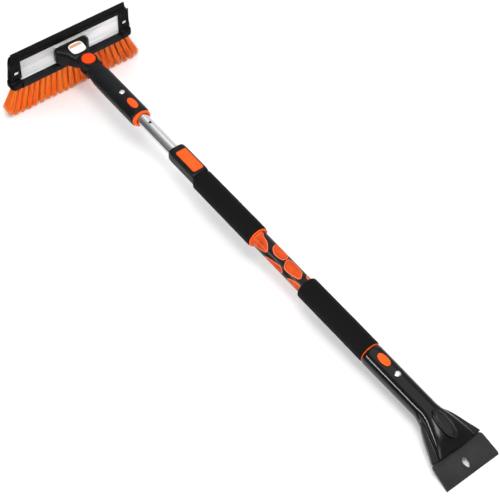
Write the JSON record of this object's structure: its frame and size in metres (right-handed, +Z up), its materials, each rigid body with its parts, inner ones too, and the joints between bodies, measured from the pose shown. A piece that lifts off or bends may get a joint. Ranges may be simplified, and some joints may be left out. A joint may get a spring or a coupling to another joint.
{
  "type": "snow brush scraper",
  "caption": "Telescoping snow brush with a swivelling bristle and squeegee head at one end of a foam-gripped pole and a detachable ice scraper at the other.",
  "frame": {"origin": "centre of the bounding box's footprint, on the floor the bristles and the scraper's edge stand on", "axes": "+X along the pole towards the scraper, +Y across the brush head, +Z up away from the floor"},
  "size_m": [0.9324, 0.252, 0.1202],
  "materials": {
    "black_plastic": "satin moulded black",
    "orange_plastic": "glossy moulded orange",
    "bristle": "orange synthetic filament",
    "panel_silver": "silver with lengthwise streaks",
    "wiper_rubber": "matte black rubber",
    "badge_white": "plain off-white badge",
    "tube_aluminium": "bright satin anodised",
    "fastener_steel": "bright zinc-plated steel",
    "spring_steel": "spring steel",
    "grip_foam": "closed-cell black foam",
    "scraper_plastic": "matte dark grey"
  },
  "bodies": {
    "handle": {"outer_tube": "tube_aluminium", "lock_housing": "black_plastic", "lock_hinge_pin": "fastener_steel", "lock_spring": "spring_steel", "foam_grip_front": "grip_foam", "foam_grip_rear": "grip_foam", "grip_ring_front": "orange_plastic", "grip_ring_rear": "orange_plastic", "orange_sleeve": "orange_plastic", "web_sleeve": "black_plastic"},
    "telescope": {"neck_shell_upper": "black_plastic", "neck_shell_lower": "black_plastic", "neck_screw": "fastener_steel", "neck_collar": "orange_plastic", "neck_snap_spring": "spring_steel", "inner_tube": "tube_aluminium", "tube_guide": "black_plastic", "pivot_pin": "fastener_steel", "pivot_spring": "spring_steel"},
    "head": {"brush_block": "black_plastic", "bristle_field": "bristle", "window_panel": "panel_silver", "squeegee_holder": "black_plastic", "squeegee_rubber": "wiper_rubber", "end_bracket_left": "black_plastic", "end_bracket_right": "black_plastic", "block_cap_left": "black_plastic", "block_cap_right": "black_plastic", "hub_housing": "black_plastic", "hub_badge": "badge_white", "hub_screw_left": "fastener_steel", "hub_screw_right": "fastener_steel"},
    "pivot_release": {"pivot_button": "orange_plastic"},
    "neck_release": {"neck_button": "orange_plastic"},
    "lock_rocker": {"lock_lever": "orange_plastic"},
    "lock_pin": {"lock_plunger": "fastener_steel"},
    "scraper": {"scraper_body": "black_plastic", "scraper_blade": "scraper_plastic", "thumb_pad": "black_plastic", "scraper_screw": "fastener_steel", "scraper_button_spring": "spring_steel"},
    "scraper_release": {"scraper_button": "orange_plastic"}
  },
  "joints": [
    {"name": "telescope_slide", "type": "slide", "parent": "handle", "child": "telescope", "axis": [-0.9978, 0, 0.0656], "range_m": [-0.0815, 0.2445]},
    {"name": "head_pivot", "type": "hinge", "parent": "telescope", "child": "head", "pos_m": [-0.3925, 0, 0.08411], "axis": [0.0656, 0, 0.9978], "range_deg": [-90, 90]},
    {"name": "pivot_button_press", "type": "slide", "parent": "telescope", "child": "pivot_release", "axis": [-0.0656, 0, -0.9978], "range_m": [0, 0.0025], "stiffness_N_per_m": 1600, "deforming": ["pivot_spring"]},
    {"name": "neck_button_press", "type": "slide", "parent": "telescope", "child": "neck_release", "axis": [-0.0656, 0, -0.9978], "range_m": [0, 0.0012], "stiffness_N_per_m": 1600, "deforming": ["neck_snap_spring"]},
    {"name": "lock_lever_rock", "type": "hinge", "parent": "handle", "child": "lock_rocker", "pos_m": [-0.1301, 0, 0.0816], "axis": [0, 1, 0], "range_deg": [0, 3.8], "stiffness_Nm_per_rad": 3, "deforming": ["lock_spring"]},
    {"name": "lock_plunger_lift", "type": "slide", "parent": "handle", "child": "lock_pin", "axis": [0.0656, 0, 0.9978], "range_m": [0, 0.00117]},
    {"name": "scraper_slide", "type": "slide", "parent": "handle", "child": "scraper", "axis": [0.9978, 0, -0.0656], "range_m": [0, 0.06]},
    {"name": "scraper_button_press", "type": "slide", "parent": "scraper", "child": "scraper_release", "axis": [-0.0656, 0, -0.9978], "range_m": [0, 0.0011], "stiffness_N_per_m": 1600, "deforming": ["scraper_button_spring"]}
  ],
  "couplings": [
    {"joint": "lock_plunger_lift", "follows": "lock_lever_rock", "m_per_rad": 0.0175}
  ]
}
